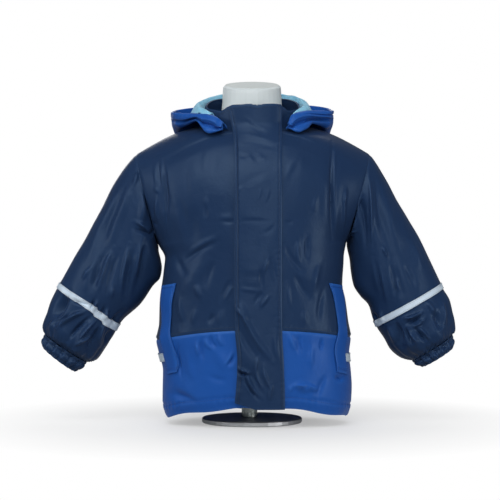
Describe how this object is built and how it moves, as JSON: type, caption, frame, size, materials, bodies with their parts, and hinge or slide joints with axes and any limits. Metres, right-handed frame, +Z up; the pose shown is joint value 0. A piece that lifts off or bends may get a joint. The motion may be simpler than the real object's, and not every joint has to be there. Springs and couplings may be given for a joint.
{
  "type": "kids raincoat on a child dress form stand",
  "caption": "Hooded kids raincoat with storm flap, gathered cuffs, pocket welts and reflective tape, worn by a limbless child dress form on a short pole stand.",
  "frame": {"origin": "middle of the underside of the stand's base, on the surface that it stands on", "axes": "+Z up, -Y out of the coat's front, +X towards the wearer's left"},
  "size_m": [0.6563, 0.2527, 0.5487],
  "materials": {
    "navy_cloth": "navy polyurethane-coated polyester rainwear cloth, soft satin sheen",
    "blue_cloth": "bright blue polyurethane-coated polyester rainwear cloth, soft satin sheen",
    "fleece": "light aqua brushed fleece",
    "reflective_tape": "silver grey reflective tape, fine bead texture",
    "form_white": "white moulded dress form, satin",
    "pole_steel": "polished steel tube",
    "base_steel": "round brushed steel base plate"
  },
  "bodies": {
    "root": {"front_upper_right": "navy_cloth", "front_upper_left": "navy_cloth", "back_upper": "navy_cloth", "sleeve_right": "navy_cloth", "sleeve_left": "navy_cloth", "cuff_right": "navy_cloth", "cuff_left": "navy_cloth", "collar": "navy_cloth", "storm_flap": "navy_cloth", "front_lower_right": "blue_cloth", "front_lower_left": "blue_cloth", "back_lower": "blue_cloth", "pocket_welt_right": "blue_cloth", "pocket_welt_left": "blue_cloth", "hood_shell": "blue_cloth", "hood_rim": "blue_cloth", "hood_lining": "fleece", "sleeve_tape_right": "reflective_tape", "sleeve_tape_left": "reflective_tape", "back_tape": "reflective_tape", "dress_form": "form_white", "stand_pole": "pole_steel", "stand_base": "base_steel"}
  },
  "joints": []
}
